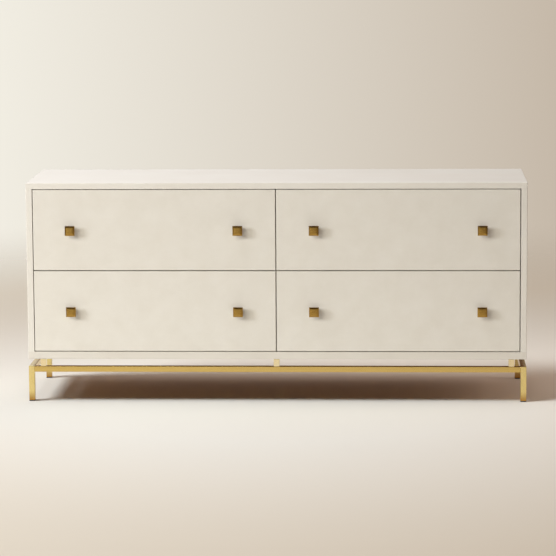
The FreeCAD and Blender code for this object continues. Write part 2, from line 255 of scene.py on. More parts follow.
# %% [markdown]
# Inside, the drawer boxes are planed birch under thin clear lacquer, with plywood bottoms. Birch is
# pale, with a soft figure stretched along the board and short fine pores. The pattern is solid, so the
# ends of the dovetail pins show the same figure cut across. End grain also soaks up more lacquer and
# goes darker, so faces that look along the grain are toned down, which is what lets a dovetail show.
# The figure runs along Y on the sides of a box and along X on its front and back.

# %% Planed birch and plywood
figure_squeeze = 0.07
pore_width = 1.2
pore_share = 0.3
end_grain = {"From Min": 0.6, "From Max": 0.9, "To Max": 0.5}


def planed_birch(name, along, figure_width, dark, middle, light):
    """Birch: planed and sealed, with a soft figure along the board and short darker pores."""
    material, tree, place = start_material(name)
    squeeze = [1.0, 1.0, 1.0]
    squeeze[along] = figure_squeeze
    turned = add_node(tree, "ShaderNodeMapping", {"Vector": place, "Scale": squeeze})
    waves = {"Vector": turned, "Scale": per_metre(figure_width), "Detail": 5.0, "Distortion": 0.8}
    figure = add_node(tree, "ShaderNodeTexNoise", waves)
    dashes = {"Vector": turned, "Scale": per_metre(pore_width), "Detail": 2.0}
    pores = add_node(tree, "ShaderNodeTexNoise", dashes)
    grain = add_node(tree, "ShaderNodeMath", {0: pores, 1: pore_share, 2: figure}, operation="MULTIPLY_ADD")
    tones = [(0.42, dark), (0.85, light), (0.62, middle)]
    colour = add_node(tree, "ShaderNodeValToRGB", {"Fac": grain}, tones)
    facing = add_node(tree, "ShaderNodeSeparateXYZ", {0: place.node.outputs["Normal"]})
    end_on = add_node(tree, "ShaderNodeMath", {0: facing.outputs[along]}, operation="ABSOLUTE")
    soaked = add_node(tree, "ShaderNodeMapRange", {"Value": end_on, **end_grain})
    darker = {"Fac": soaked, "Color1": colour, "Color2": linear("8F6740")}
    toned = add_node(tree, "ShaderNodeMixRGB", darker)
    return end_material(material, toned, pores, roughness=0.45, strength=0.2, depth=0.1)


birch_across = planed_birch("planed_birch_across", X, 11, "CBA878", "DCBE92", "E7CFA9")
birch_deep = planed_birch("planed_birch_deep", Y, 11, "CBA878", "DCBE92", "E7CFA9")
birch_ply = planed_birch("birch_plywood_face", X, 34, "CDAA7B", "DDBF94", "E8D1AC")
print("woods:", birch_across.name, birch_deep.name, birch_ply.name)

# %% [markdown]
# The feet end in moulded nylon glides, near black. Moulding leaves a fine even grain and a low sheen.
# A plain dark colour would look like a hole, so one noise gives both the tone and the bump.

# %% Moulded nylon
def moulded_nylon(name, grain_width, dark, light):
    """Nylon from a textured mould: low sheen with a fine even grain."""
    material, tree, place = start_material(name)
    grains = {"Vector": place, "Scale": per_metre(grain_width), "Detail": 3.0}
    grain = add_node(tree, "ShaderNodeTexNoise", grains)
    colour = add_node(tree, "ShaderNodeValToRGB", {"Fac": grain}, [(0.3, dark), (0.7, light)])
    return end_material(material, colour, grain, roughness=0.55, strength=0.3, depth=0.05)


black_nylon = moulded_nylon("moulded_black_nylon", 0.9, "1D1815", "2A231E")
print("glides:", black_nylon.name)

# %% [markdown]
# Most CAD nodes have the right shape already and only need a material in their slots. A table from the
# last words of a node's name to its material does all of them in one loop. The nodes that are swapped
# later get theirs too, so nothing is ever left in a plain colour.

# %% Dress the CAD nodes
finishes = {
    "panel": ivory_lacquer,
    "centre_divider": inner_lacquer,
    "back_panel": back_paint,
    "loose_tongues": birch_ply,
    "rail": satin_brass[X],
    "leg": satin_brass[Z],
    "base_spacers": spacer_brass,
    "base_bolts": zinc_steel,
    "foot_glides": black_nylon,
    "channels": zinc_steel,
    "drawer_front": pebbled_ivory,
    "box_front": birch_across,
    "box_back": birch_across,
    "side": birch_deep,
    "box_bottom": birch_ply,
    "knobs": knob_brass,
    "screws": zinc_steel,
}


def finish_of(node):
    """The finish whose words fit the most of the end of a node's name."""
    fitting = [ending for ending in finishes if node.endswith(ending)]
    return finishes[max(fitting, key=len)]


for node, solid in nodes.items():
    for material_slot in solid.material_slots:
        material_slot.material = finish_of(node)
print("dressed", len(nodes), "nodes")

# %% [markdown]
# Board edges are never razor sharp: lacquer needs a small round to hold on to, and the round catches a
# thin line of light that makes a panel look real. The CAD panels have a flat bevel there. A copy of the
# node's mesh, with its loose triangles merged back into whole faces, takes a Bevel modifier on chosen
# edges only, which are the ones along the edges of the piece's own box. Hidden grooves stay sharp. The
# normals are weighted by area, which keeps the large faces flat to the eye.

# %% Panels and fronts with eased edges
weld = 0.02 * mm
flat_angle = math.radians(1)
crease_angle = math.radians(30)
edge_reach = 2.5 * mm


def keep_piece(mesh, body, material, slot, *replaced):
    """An object for a finished mesh: it rides on a body, takes a slot and may stand for CAD nodes."""
    piece = bpy.data.objects.new(mesh.name, mesh)
    scene.collection.objects.link(piece)
    mesh.materials.clear()
    mesh.materials.append(material)
    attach(piece, body)
    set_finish(piece, slot)
    if replaced:
        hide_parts(*replaced)
    return piece


def flatten_shading(piece):
    """Lets large faces set the normals, so that flats stay flat beside their rounds."""
    weighted = piece.modifiers.new("Flat faces", "WEIGHTED_NORMAL")
    weighted.keep_sharp = True


def along_box_edge(edge, low, high):
    """True if an edge lies along an edge of the box, or in the bevel there."""
    middle = (edge.verts[0].co + edge.verts[1].co) / 2
    touching = [min(middle[at] - low[at], high[at] - middle[at]) < edge_reach for at in (X, Y, Z)]
    return sum(touching) >= 2


def eased_copy(node, name, body, material, slot, radius, chosen=along_box_edge):
    """A copy of a CAD node with rounds on the chosen edges, which stands for the node."""
    low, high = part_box(node)
    shell = bmesh.new()
    shell.from_mesh(nodes[node].data)
    bmesh.ops.remove_doubles(shell, verts=shell.verts, dist=weld)
    bmesh.ops.dissolve_limit(shell, angle_limit=flat_angle, verts=shell.verts, edges=shell.edges)
    weight = shell.edges.layers.float.new("bevel_weight_edge")
    for face in shell.faces:
        face.smooth = True
    for edge in shell.edges:
        sharp = edge.is_manifold and edge.calc_face_angle() > crease_angle
        eased = sharp and edge.is_convex and chosen(edge, low, high)
        edge[weight] = float(eased)
        edge.smooth = eased or not sharp
    mesh = bpy.data.meshes.new(name)
    shell.to_mesh(mesh)
    shell.free()
    piece = keep_piece(mesh, body, material, slot, node)
    bevel = piece.modifiers.new("Eased edges", "BEVEL")
    bevel.limit_method = "WEIGHT"
    bevel.width = radius
    bevel.segments = 3
    flatten_shading(piece)


panel_ease = 0.5 * mm
case_panels = {
    "lacquered_top": "top_panel",
    "lacquered_bottom": "bottom_panel",
    "lacquered_left_side": "left_side_panel",
    "lacquered_right_side": "right_side_panel",
}
for name, node in case_panels.items():
    # The bottom panel takes the lacquer with painted shade below.
    coat = underside_shade_lacquer if node == "bottom_panel" else ivory_lacquer
    eased_copy(node, name, "carcass", coat, "ivory_lacquer", panel_ease)
for drawer in drawers:
    body = f"{drawer}_drawer"
    name = f"{drawer}_pebbled_front"
    eased_copy(f"{body}_front", name, body, pebbled_ivory, "ivory_shagreen", panel_ease)
print("eased", len(case_panels), "case panels and", len(drawers), "fronts")

# %% [markdown]
# The four boards of a drawer box meet in through dovetails, flush and crisp, so those edges are left
# alone. Only the top edges are rounded over, where a hand reaches in.

# %% Drawer boxes
round_over = 2 * mm
boards = {"front": birch_across, "back": birch_across, "left_side": birch_deep, "right_side": birch_deep}


def along_top(edge, low, high):
    """True if an edge lies in the top face of the box."""
    return all(high.z - vert.co.z < weld for vert in edge.verts)


for drawer in drawers:
    for board, grain in boards.items():
        node = f"{drawer}_box_{board}"
        eased_copy(node, f"{node}_board", f"{drawer}_drawer", grain, "drawer_birch", round_over, along_top)
print("rounded the tops of", len(boards) * len(drawers), "box boards")

# %% [markdown]
# The base is square brass tube, drawn through a die, so its corners are small rounds and its walls are
# hollow. Boxes with a Bevel modifier would look alike from outside, but they would be solid bars. Rings of
# points once round a rounded square, joined one to the next, can follow the outside, the rims and the
# inside in turn. The knobs, slides and screws are made of rings later on, so the rings come first.

# %% Rings
def rounded_square(half, radius, steps=5):
    """Points once round a square of that half side, with rounded corners."""
    points = []
    for quarter, (right, up) in enumerate([(1, 1), (-1, 1), (-1, -1), (1, -1)]):
        for step in range(steps + 1):
            angle = math.pi / 2 * (quarter + step / steps)
            across = right * (half - radius) + radius * math.cos(angle)
            rise = up * (half - radius) + radius * math.sin(angle)
            points.append((across, rise))
    return points


def loft(shell, rings, loop=False):
    """Joins rings of equal length with quads. The ends are capped, or joined to each other in a loop."""
    loops = [[shell.verts.new(point) for point in ring] for ring in rings]
    pairs = list(zip(loops, loops[1:]))
    if loop:
        pairs.append((loops[-1], loops[0]))
    else:
        shell.faces.new(loops[0])
        shell.faces.new(loops[-1])
    for first, second in pairs:
        for at, vert in enumerate(first):
            after = (at + 1) % len(first)
            shell.faces.new((vert, first[after], second[after], second[at]))


def closed_mesh(name, shell):
    """A mesh from a closed shell, with its faces outwards and smooth up to the crease angle."""
    bmesh.ops.recalc_face_normals(shell, faces=shell.faces)
    mesh = bpy.data.meshes.new(name)
    shell.to_mesh(mesh)
    shell.free()
    mesh.shade_smooth()
    mesh.set_sharp_from_angle(angle=crease_angle)
    return mesh


print("points in a ring:", len(rounded_square(half=1, radius=0.1)))

# %% [markdown]
# All rings of a tube are in one closed skin. An open tube, such as a side rail, is a loop of rings: up the
# outside, over the rim and back inside. A leg has a closed top with a softly drawn edge, so its rings make
# a cup instead. Each tube fills the box of its CAD node.

# %% Side rails and legs
tube_wall = 1.5 * mm
tube_round = 1.4 * mm
inner_round = cap_round = tube_round / 2
cap_steps = 4
rim_ease = 0.3 * mm


def tube_rings(length, half, closed_top):
    """Rings of a tube that stands on its end, as (height, half side, corner radius)."""
    inner = half - tube_wall
    rim = (half - rim_ease, tube_round - rim_ease)
    rings = [(0, inner, inner_round), (0, *rim), (rim_ease, half, tube_round)]
    if closed_top:
        for step in range(cap_steps + 1):
            angle = math.pi / 2 * step / cap_steps
            drawn_in = cap_round * (1 - math.cos(angle))
            height = length - cap_round * (1 - math.sin(angle))
            rings.append((height, half - drawn_in, tube_round - drawn_in))
        return [(length - tube_wall, inner, inner_round)] + rings
    return rings + [(length - rim_ease, half, tube_round), (length, *rim), (length, inner, inner_round)]


def square_tube(shell, low, high, along, closed_top=False):
    """Adds a tube that fills a box along one axis."""
    across = [at for at in (X, Y, Z) if at != along]
    middle = (low + high) / 2
    half = (high[across[0]] - low[across[0]]) / 2
    rings = []
    for height, side, radius in tube_rings(high[along] - low[along], half, closed_top):
        ring = []
        for first, second in rounded_square(side, radius):
            point = Vector()
            point[along] = low[along] + height
            point[across[0]] = middle[across[0]] + first
            point[across[1]] = middle[across[1]] + second
            ring.append(point)
        rings.append(ring)
    loft(shell, rings, loop=not closed_top)


tubes = {"base_left_rail": Y, "base_right_rail": Y}
tubes |= {f"{end}_{hand}_leg": Z for end in ("front", "back") for hand in ("left", "right")}
for node, along in tubes.items():
    shell = bmesh.new()
    square_tube(shell, *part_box(node), along, closed_top=along == Z)
    mesh = closed_mesh("brass_" + node.removeprefix("base_"), shell)
    flatten_shading(keep_piece(mesh, "carcass", satin_brass[along], "satin_brass", node))
print("tubes:", list(tubes))

# %% [markdown]
# The long rails have bolts inside them, which hold the case, and round holes underneath to reach their
# heads. Their CAD tubes have those holes already, so they are copied, and only their four long corners
# are rounded.

# %% Bored rails
def along_rail(edge, low, high):
    """True if an edge is one of the long outer corners of a rail."""
    ends = [vert.co for vert in edge.verts]
    outside = [all(min(end[at] - low[at], high[at] - end[at]) < weld for end in ends) for at in (Y, Z)]
    return all(outside) and abs(ends[0].x - ends[1].x) > tube_round


rail_brass = satin_brass[X]
bored_rails = ("front_rail", "back_rail")
for rail in bored_rails:
    eased_copy(f"base_{rail}", f"brass_{rail}", "carcass", rail_brass, "satin_brass", tube_round, along_rail)
print("bored rails:", len(bored_rails))

# %% [markdown]
# The blocks that hold the case off the rails are short upright lengths of the same tube, three on each
# rail, in their brighter polish. Their places come from the box that holds all six: the two ends and the
# middle of its width, on the front and the back.

# %% Spacer blocks
leg_low, leg_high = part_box("front_left_leg")
tube_size = leg_high.x - leg_low.x
low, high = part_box("base_spacers")
spacer_rows = [low.y, high.y - tube_size]
spacer_columns = [low.x, (low.x + high.x - tube_size) / 2, high.x - tube_size]
shell = bmesh.new()
for x in spacer_columns:
    for y in spacer_rows:
        corner = Vector((x, y, low.z))
        square_tube(shell, corner, Vector((x + tube_size, y + tube_size, high.z)), Z)
mesh = closed_mesh("brass_spacers", shell)
flatten_shading(keep_piece(mesh, "carcass", spacer_brass, "satin_brass", "base_spacers"))
print("spacers:", len(spacer_columns) * len(spacer_rows))

# %% [markdown]
# A knob is cast and ground square: a foot against the drawer, a stem that tapers up from it, and a head
# with a wide bevel round a face that is very slightly crowned. The face shows most, since its crown and
# bevels each mirror another part of the room. Its profile is a short list of corners, from the foot to
# the middle of the face, each rounded by a small arc, and a ring of a rounded square at each point of
# the profile makes the skin.

# %% Knobs
runs_per_arc = 2.2


def rounded_path(corners, radius, steps=3):
    """A path through corners, with an arc of about that radius, or as much as fits, at all but the ends."""
    path = [corners[0]]
    for before, corner, after in zip(corners, corners[1:], corners[2:]):
        back = before - corner
        ahead = after - corner
        reach = min(radius, back.length / runs_per_arc, ahead.length / runs_per_arc)
        start = corner + back.normalized() * reach
        end = corner + ahead.normalized() * reach
        for step in range(steps + 1):
            share = step / steps
            path.append(start.lerp(corner, share).lerp(corner.lerp(end, share), share))
    return path + [corners[-1]]


knob_size = 32 * mm
knob_bevel = 4 * mm
knob_head = 9 * mm
knob_stem = 13 * mm
knob_foot = 20 * mm
knob_foot_height = 3 * mm
knob_crown = 0.5 * mm
knob_corner = 1.1 * mm
knob_corner_share = 0.9
knob_edge = 0.8 * mm


def knob_profile(projection):
    """Half side and height of the knob at each corner of its profile, from the foot to the face."""
    neck = projection - knob_head
    head = knob_size / 2
    rim = projection - knob_crown
    corners = [
        (knob_foot / 2, 0),
        (knob_foot / 2, knob_foot_height),
        (knob_foot / 2 - knob_edge, knob_foot_height + knob_edge),
        (knob_stem / 2, neck),
        (head, neck),
        (head, rim - knob_bevel),
        (head - knob_bevel, rim),
        (head / 2, projection - knob_crown / 4),
        (knob_corner, projection),
    ]
    return rounded_path([Vector(corner) for corner in corners], knob_edge)


for drawer in drawers:
    node = f"{drawer}_knobs"
    low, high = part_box(node)
    shell = bmesh.new()
    z = (low.z + high.z) / 2
    for x in (low.x + knob_size / 2, high.x - knob_size / 2):
        rings = []
        for half, height in knob_profile(high.y - low.y):
            ring = rounded_square(half, min(knob_corner, half * knob_corner_share))
            rings.append([(x + across, high.y - height, z + rise) for across, rise in ring])
        loft(shell, rings)
    mesh = closed_mesh(f"{drawer}_brass_knobs", shell)
    flatten_shading(keep_piece(mesh, f"{drawer}_drawer", knob_brass, "knob_brass", node))
print("knobs:", 2 * len(drawers), "of", len(rings), "rings each")

# %% [markdown]
# Each drawer runs on a pair of steel slides: three channels, one inside the other, rolled from strip,
# with rows of balls in thin cages between their flanges. Rolled strip turns its corners in small arcs,
# which is what makes it look like bent metal. A solid outline with bevels could do it too, but a channel
# is easier to draw as the midline of its strip: the corners are rounded, the strip gets its thickness
# and it is run along the slide. Reaches count from the wall that carries the slide, rises from its middle,
# and the lines are in millimetres.

# %% Rolled slide channels
strip = 1.2 * mm
bend = 1.6 * mm
cabinet_line = [(9.9, 19.1), (9.9, 21.9), (0.6, 21.9), (0.6, -21.9), (9.9, -21.9), (9.9, -19.1)]
middle_line = [(11, 16.4), (2.6, 16.4), (2.6, -16.4), (11, -16.4)]
drawer_line = [(4.5, 10.9), (12.1, 10.9), (12.1, -10.9), (4.5, -10.9)]
stop_tab = [(0.6, -8), (10.5, -8), (10.5, 8), (0.6, 8)]
channel_mouth = 4.5 * mm


def slide_walls(drawer):
    """The walls beside a drawer, as the place, the way to the drawer and the height of the slide."""
    low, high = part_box(f"{drawer}_drawer_channels")
    centre = (low.z + high.z) / 2
    return [(low.x - channel_mouth, 1, centre), (high.x + channel_mouth, -1, centre)]


def from_wall(wall, reach, rise, y):
    """The point at a reach from a wall, a rise from the slide's middle and a depth."""
    place, inward, centre = wall
    return Vector((place + inward * reach, y, centre + rise))


def rolled_channel(shell, wall, midline, y_low, y_high):
    """Adds a channel: the midline of its strip, given the strip's thickness and run along the depth."""
    path = rounded_path([Vector(corner) * mm for corner in midline], bend)
    rings = []
    for at, point in enumerate(path):
        ahead = path[min(at + 1, len(path) - 1)] - path[max(at - 1, 0)]
        half = Vector((-ahead.y, ahead.x)).normalized() * strip / 2
        outside, inside = point + half, point - half
        corners = [(outside, y_low), (outside, y_high), (inside, y_high), (inside, y_low)]
        rings.append([from_wall(wall, corner.x, corner.y, y) for corner, y in corners])
    loft(shell, rings)


cabinet_low, cabinet_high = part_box("cabinet_channels")
tab_depths = (cabinet_high.y - strip, cabinet_high.y)
cabinet_shell = bmesh.new()
for drawer in drawers:
    node = f"{drawer}_drawer_channels"
    low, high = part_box(node)
    drawer_shell = bmesh.new()
    for wall in slide_walls(drawer):
        rolled_channel(drawer_shell, wall, drawer_line, low.y, high.y)
        rolled_channel(cabinet_shell, wall, cabinet_line, cabinet_low.y, cabinet_high.y)
        loft(cabinet_shell, [[from_wall(wall, r * mm, s * mm, y) for r, s in stop_tab] for y in tab_depths])
    mesh = closed_mesh(f"{drawer}_rolled_drawer_channels", drawer_shell)
    keep_piece(mesh, f"{drawer}_drawer", zinc_steel, "zinc_steel", node)
mesh = closed_mesh("rolled_cabinet_channels", cabinet_shell)
keep_piece(mesh, "carcass", zinc_steel, "zinc_steel", "cabinet_channels")
print("channels on", len(drawers), "drawers and", 2 * len(drawers), "walls")

# %% [markdown]
# The small things that repeat, hundreds of balls and dozens of screws, are grown by Geometry Nodes. A tree
# takes a mesh of points or edges that says where, and named inputs that say what. It ends in plain
# mesh with its material set. The first tree makes the rows of balls in the slides. A row is one edge from
# its first ball to its last: the tree turns the edges into curves, cuts them at the pitch and puts a ball
# on each point.

# %% Geometry tree for ball rows
def start_tree(name, sockets):
    """A geometry tree with named inputs: the tree, and the sockets of its Group Input."""
    tree = bpy.data.node_groups.new(name, "GeometryNodeTree")
    for way in ("INPUT", "OUTPUT"):
        tree.interface.new_socket("Geometry", in_out=way, socket_type="NodeSocketGeometry")
    for label, kind in sockets.items():
        tree.interface.new_socket(label, in_out="INPUT", socket_type=kind)
    return tree, add_node(tree, "NodeGroupInput").outputs


def end_tree(tree, instances, material):
    """Ends a tree: the instances become real mesh and take their material."""
    real = add_node(tree, "GeometryNodeRealizeInstances", {"Geometry": instances})
    dressed = add_node(tree, "GeometryNodeSetMaterial", {"Geometry": real, "Material": material})
    add_node(tree, "NodeGroupOutput", {"Geometry": dressed})


ball_segments, ball_rings = 10, 6
ball_tree, given = start_tree(
    "ball_rows", {"Radius": "NodeSocketFloat", "Pitch": "NodeSocketFloat", "Steel": "NodeSocketMaterial"}
)
rows = add_node(ball_tree, "GeometryNodeMeshToCurve", {"Mesh": given["Geometry"]})
cuts = {"Curve": rows, "Length": given["Pitch"]}
cut_rows = add_node(ball_tree, "GeometryNodeResampleCurve", cuts, mode="LENGTH")
sizes = {"Segments": ball_segments, "Rings": ball_rings, "Radius": given["Radius"]}
ball = add_node(ball_tree, "GeometryNodeMeshUVSphere", sizes)
smooth_ball = add_node(ball_tree, "GeometryNodeSetShadeSmooth", {"Geometry": ball})
balls = add_node(ball_tree, "GeometryNodeInstanceOnPoints", {"Points": cut_rows, "Instance": smooth_ball})
end_tree(ball_tree, balls, given["Steel"])
print("ball tree:", len(ball_tree.nodes), "nodes")

# %% [markdown]
# A tree runs as a modifier. Its result is copied out, one mesh for each body, so no modifier is left. Four
# rows of balls run in each slide, two outside the middle channel and two inside it. A thin strip along the
# row is its cage, and rides with the middle channel. The CAD model has a bar there.

# %% Ball rows, cages and middle channels
def grow(name, seeds, tree, values):
    """Runs a tree on a mesh of points or edges and gives the plain mesh that it makes."""
    holder = bpy.data.objects.new(name, seeds)
    scene.collection.objects.link(holder)
    modifier = holder.modifiers.new(tree.name, "NODES")
    modifier.node_group = tree
    for socket in tree.interface.items_tree:
        if socket.in_out == "INPUT" and socket.name in values:
            modifier[socket.identifier] = values[socket.name]
    mesh = bpy.data.meshes.new_from_object(holder.evaluated_get(bpy.context.evaluated_depsgraph_get()))
    mesh.name = name
    bpy.data.objects.remove(holder)
    return mesh


def seed_mesh(name, points, edges=(), facings=()):
    """A mesh of points and edges only, with no faces. Facings, if any, are stored on the points."""
    mesh = bpy.data.meshes.new(name)
    mesh.from_pydata(points, edges, [])
    if facings:
        stored = mesh.attributes.new("facing", "FLOAT_VECTOR", "POINT")
        stored.data.foreach_set("vector", [part for facing in facings for part in facing])
    return mesh


ball_radius = 2.1 * mm
ball_pitch = 9 * mm
outer_row = (5.65 * mm, 19.15 * mm)
inner_row = (7.75 * mm, 13.65 * mm)
cage_share = 0.51
cage_width, cage_thickness = 4.6 * mm, 0.7 * mm
wide, thick = cage_width / 2, cage_thickness / 2
cage_corners = [(-wide, -thick), (wide, -thick), (wide, thick), (-wide, thick)]
for drawer in drawers:
    node = f"{drawer}_middle_channels"
    low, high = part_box(node)
    cage_length = (high.y - low.y) * cage_share
    shell = bmesh.new()
    points = []
    for wall in slide_walls(drawer):
        rolled_channel(shell, wall, middle_line, low.y, high.y)
        for (reach, rise), start in ((outer_row, high.y - cage_length), (inner_row, low.y)):
            end = start + cage_length
            for side in (rise, -rise):
                points += [from_wall(wall, reach, side, y) for y in (start + ball_pitch, end - ball_pitch)]
                corners = [(reach + r, side + s) for r, s in cage_corners]
                loft(shell, [[from_wall(wall, *corner, y) for corner in corners] for y in (start, end)])
    body = f"{drawer}_middle_slides"
    mesh = closed_mesh(f"{drawer}_rolled_middle_channels", shell)
    keep_piece(mesh, body, zinc_steel, "zinc_steel", node)
    edges = [(at, at + 1) for at in range(0, len(points), 2)]
    seeds = seed_mesh(f"{drawer}_ball_rows", points, edges)
    values = {"Radius": ball_radius, "Pitch": ball_pitch, "Steel": ball_steel}
    mesh = grow(f"{drawer}_slide_balls", seeds, ball_tree, values)
    keep_piece(mesh, body, ball_steel, "zinc_steel")
print("balls on one drawer:", len(mesh.polygons) // (ball_segments * ball_rings))

# %% [markdown]
# Screws have round heads with a cross recess. One head is lofted from rings of twelve points at the
# angles of the corners of the cross, so the last rings can turn from round to cross and step down into
# the recess. The tree puts a head on each point, turns it to the way the point faces and spins it by
# chance with a fixed seed, because no two screws stop at the same angle.

# %% Screws
cross_shares = (0.52, 0.13)
head_shares = [(1, 0.35), (0.86, 0.75), (0.64, 0.96)]
recess_taper_share, recess_floor_share = 0.8, 0.4
spin_seed = 7


def screw(name, radius, height, shank_radius, shank_length, sunk=0.0):
    """A screw that stands on z = 0 with its head up and its shank below."""
    arm, wide = (share * radius for share in cross_shares)
    quarter = [(arm, -wide), (arm, wide), (wide, wide)]
    cross = [
        (x * math.cos(turn) - y * math.sin(turn), x * math.sin(turn) + y * math.cos(turn))
        for turn in (math.pi / 2 * step for step in range(4))
        for x, y in quarter
    ]
    angles = [math.atan2(y, x) for x, y in cross]
    profile = [(shank_radius, -shank_length), (shank_radius, -sunk), (radius, 0)]
    profile += [(radius * out, height * up) for out, up in head_shares]
    rings = [[(r * math.cos(a), r * math.sin(a), z) for a in angles] for r, z in profile]
    rings.append([(x, y, height) for x, y in cross])
    recess_floor = height * recess_floor_share - sunk / 2
    rings.append([(x * recess_taper_share, y * recess_taper_share, recess_floor) for x, y in cross])
    shell = bmesh.new()
    loft(shell, rings)
    return bpy.data.objects.new(name, closed_mesh(name, shell))


screw_tree, given = start_tree(
    "screws_on_points", {"Screw": "NodeSocketObject", "Seed": "NodeSocketInt", "Steel": "NodeSocketMaterial"}
)
facing = add_node(
    screw_tree, "GeometryNodeInputNamedAttribute", {"Name": "facing"}, data_type="FLOAT_VECTOR"
)
turned = add_node(screw_tree, "FunctionNodeAlignRotationToVector", {"Vector": facing}, axis="Z")
quarter_turn = {2: 0.0, 3: math.pi / 2, 8: given["Seed"]}
chance = add_node(screw_tree, "FunctionNodeRandomValue", quarter_turn, data_type="FLOAT")
spin = add_node(screw_tree, "ShaderNodeCombineXYZ", {"Z": chance.outputs[1]})
spin_turn = add_node(screw_tree, "FunctionNodeEulerToRotation", {0: spin})
turns = {"Rotation": turned, "Rotate By": spin_turn}
spun = add_node(screw_tree, "FunctionNodeRotateRotation", turns, rotation_space="LOCAL")
shape = add_node(screw_tree, "GeometryNodeObjectInfo", {"Object": given["Screw"]}).outputs["Geometry"]
driven = {"Points": given["Geometry"], "Instance": shape, "Rotation": spun}
screws = add_node(screw_tree, "GeometryNodeInstanceOnPoints", driven)
end_tree(screw_tree, screws, given["Steel"])


def set_screws(name, body, template, places, *replaced):
    """One mesh of screws for a body. Each place is a point and the way that the head faces."""
    points, facings = zip(*places)
    seeds = seed_mesh(f"{name}_places", points, facings=facings)
    mesh = grow(name, seeds, screw_tree, {"Screw": template, "Seed": spin_seed, "Steel": zinc_steel})
    keep_piece(mesh, body, zinc_steel, "zinc_steel", *replaced)


print("screw tree:", len(screw_tree.nodes), "nodes")

# %% [markdown]
# The back board is held in its rabbet by countersunk screws all round and down the divider. Each drawer
# channel has three pan heads inside it, screwed to the box. Inside the box front are the two knob screws
# and four more that hold the front on. A screw's sizes are the radius and height of its head, then the
# radius and length of its shank. The four templates are only copied, and are taken away at the end.

# %% Set the screws
low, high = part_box("upper_left_knob_screws")
knob_head_radius, knob_head_height = 4 * mm, 2.6 * mm
knob_shank = high.y - knob_head_height - low.y
sunk_screw = screw("sunk_screw", 3.2 * mm, 0.25 * mm, 1.5 * mm, 5 * mm, sunk=2 * mm)
slide_screw = screw("slide_screw", 3 * mm, 1.6 * mm, 1.6 * mm, 10 * mm)
front_screw = screw("front_screw", 4 * mm, 2.4 * mm, 2 * mm, 24 * mm)
knob_screw = screw("knob_screw", knob_head_radius, knob_head_height, 2 * mm, knob_shank)


def evenly(low, high, pitch):
    """Places from low to high, as near to the pitch as they divide."""
    count = round((high - low) / pitch)
    return [low + (high - low) * at / count for at in range(count + 1)]


low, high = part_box("back_panel")
edge_inset = 4 * mm
row_pitch, column_pitch = 200 * mm, 180 * mm
to_back = Vector((0, 1, 0))
x_low, x_high = low.x + edge_inset, high.x - edge_inset
z_low, z_high = low.z + edge_inset, high.z - edge_inset
spots = [(x, z) for x in evenly(x_low, x_high, row_pitch) for z in (z_low, z_high)]
spots += [(x, z) for z in evenly(z_low, z_high, column_pitch)[1:-1] for x in (x_low, 0, x_high)]
in_back = [(Vector((x, high.y, z)), to_back) for x, z in spots]
set_screws("back_board_screws", "carcass", sunk_screw, in_back)

web_face = 11.5 * mm
slide_screw_shares = (0.1, 0.5, 0.9)
fixing_offset = 50 * mm
for drawer in drawers:
    body = f"{drawer}_drawer"
    low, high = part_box(f"{drawer}_drawer_channels")
    in_slides = [
        (from_wall(wall, web_face, 0, low.y + (high.y - low.y) * share), Vector((-wall[1], 0, 0)))
        for wall in slide_walls(drawer)
        for share in slide_screw_shares
    ]
    set_screws(f"{drawer}_slide_screws", body, slide_screw, in_slides)
    node = f"{drawer}_knob_screws"
    low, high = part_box(node)
    seat = high.y - knob_head_height
    level = (low.z + high.z) / 2
    columns = (low.x + knob_head_radius, high.x - knob_head_radius)
    in_knobs = [(Vector((x, seat, level)), to_back) for x in columns]
    set_screws(f"{drawer}_knob_screw_set", body, knob_screw, in_knobs, node)
    in_front = [
        (Vector((x, seat, level + rise)), to_back)
        for x in (low.x - fixing_offset, high.x + fixing_offset)
        for rise in (-fixing_offset, fixing_offset)
    ]
    set_screws(f"{drawer}_front_screws", body, front_screw, in_front)
for template in (sunk_screw, slide_screw, front_screw, knob_screw):
    bpy.data.objects.remove(template)
in_drawer = len(in_slides) + len(in_knobs) + len(in_front)
print("screws:", len(in_back), "in the back and", in_drawer, "in each drawer")

# %% [markdown]
# The floor is a pale disc that takes the chest's shadow. Its colour goes darker and warmer away from the
# middle, as painted shade of the light falling off. It fades out towards its rim, so that it has no
# edge from any side, and it is clear from below, so that the underside can be looked at. A large plane
# would do for one picture, but its far edge would cut across the others.

# %% Floor
floor_radius = 6.0
floor_fade = {"From Min": 1.3, "From Max": 5.0}
far_floor_shade = {"From Min": 0.9, "From Max": 2.6}


def soft_floor(name, colour, outer):
    """Matt floor paint, darker and warmer away from the middle as painted shade, that fades to nothing
    towards the rim.
    """
    material, tree, place = start_material(name)
    tree.nodes.remove(tree.nodes["Principled BSDF"])
    reach = add_node(tree, "ShaderNodeVectorMath", {0: place}, operation="LENGTH").outputs["Value"]
    fading = {"Value": reach, **floor_fade}
    fade = add_node(tree, "ShaderNodeMapRange", fading, interpolation_type="SMOOTHSTEP")
    below = add_node(tree, "ShaderNodeNewGeometry").outputs["Backfacing"]
    gone = add_node(tree, "ShaderNodeMath", {0: fade, 1: below}, operation="MAXIMUM")
    # Painted shade: the paint goes darker and warmer with distance from the middle.
    far_shade = add_node(tree, "ShaderNodeMapRange", {"Value": reach, **far_floor_shade})
    tones = {"Fac": far_shade, "Color1": linear(colour), "Color2": linear(outer)}
    paint = add_node(tree, "ShaderNodeMixRGB", tones)
    matt = add_node(tree, "ShaderNodeBsdfDiffuse", {"Color": paint})
    clear = add_node(tree, "ShaderNodeBsdfTransparent")
    mixed = add_node(tree, "ShaderNodeMixShader", {0: gone, 1: matt, 2: clear})
    set_inputs(tree, tree.nodes["Material Output"], {"Surface": mixed})
    return material


